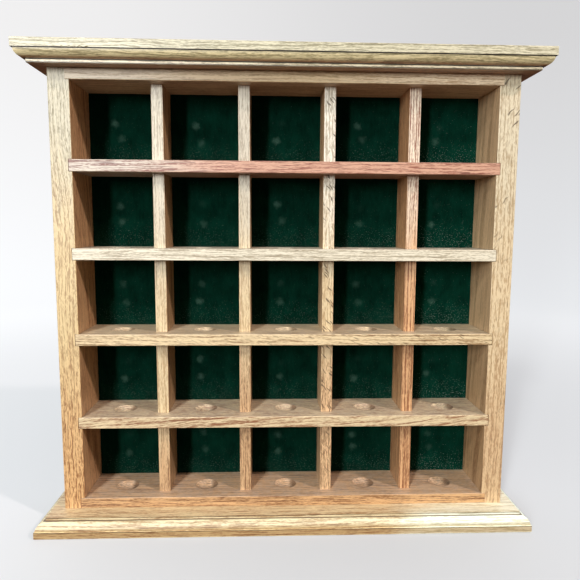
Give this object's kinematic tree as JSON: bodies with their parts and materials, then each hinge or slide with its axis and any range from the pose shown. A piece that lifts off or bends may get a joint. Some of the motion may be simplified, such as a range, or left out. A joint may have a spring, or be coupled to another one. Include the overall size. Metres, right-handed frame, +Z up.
{
  "type": "ball display case",
  "caption": "Open oak case of equal square cells between a moulded crown and base board, each cell with a round seat for one ball and green felt behind it.",
  "frame": {"origin": "middle of the underside: half way along the width, and half way between the base board's front edge and the wall face", "axes": "+X to the viewer's right along the width, +Y from the front to the wall, +Z up"},
  "size_m": [0.3908, 0.0728, 0.3714],
  "materials": {
    "oak": "clear satin over open grain",
    "hardboard": "smooth, uncoated",
    "felt": "matt wool felt",
    "zinc_steel": "zinc plated"
  },
  "bodies": {
    "root": {"left_side": "oak", "right_side": "oak", "top_board": "oak", "bottom_board": "oak", "crown_board": "oak", "base_board": "oak", "crown_screw_plugs": "oak", "shelf_1": "oak", "shelf_2": "oak", "shelf_3": "oak", "shelf_4": "oak", "divider_1": "oak", "divider_2": "oak", "divider_3": "oak", "divider_4": "oak", "back_panel": "hardboard", "felt_lining": "felt", "back_panel_brads": "zinc_steel", "crown_screws": "zinc_steel", "base_screws": "zinc_steel", "left_hanger": "zinc_steel", "right_hanger": "zinc_steel", "hanger_nails": "zinc_steel"}
  },
  "joints": []
}
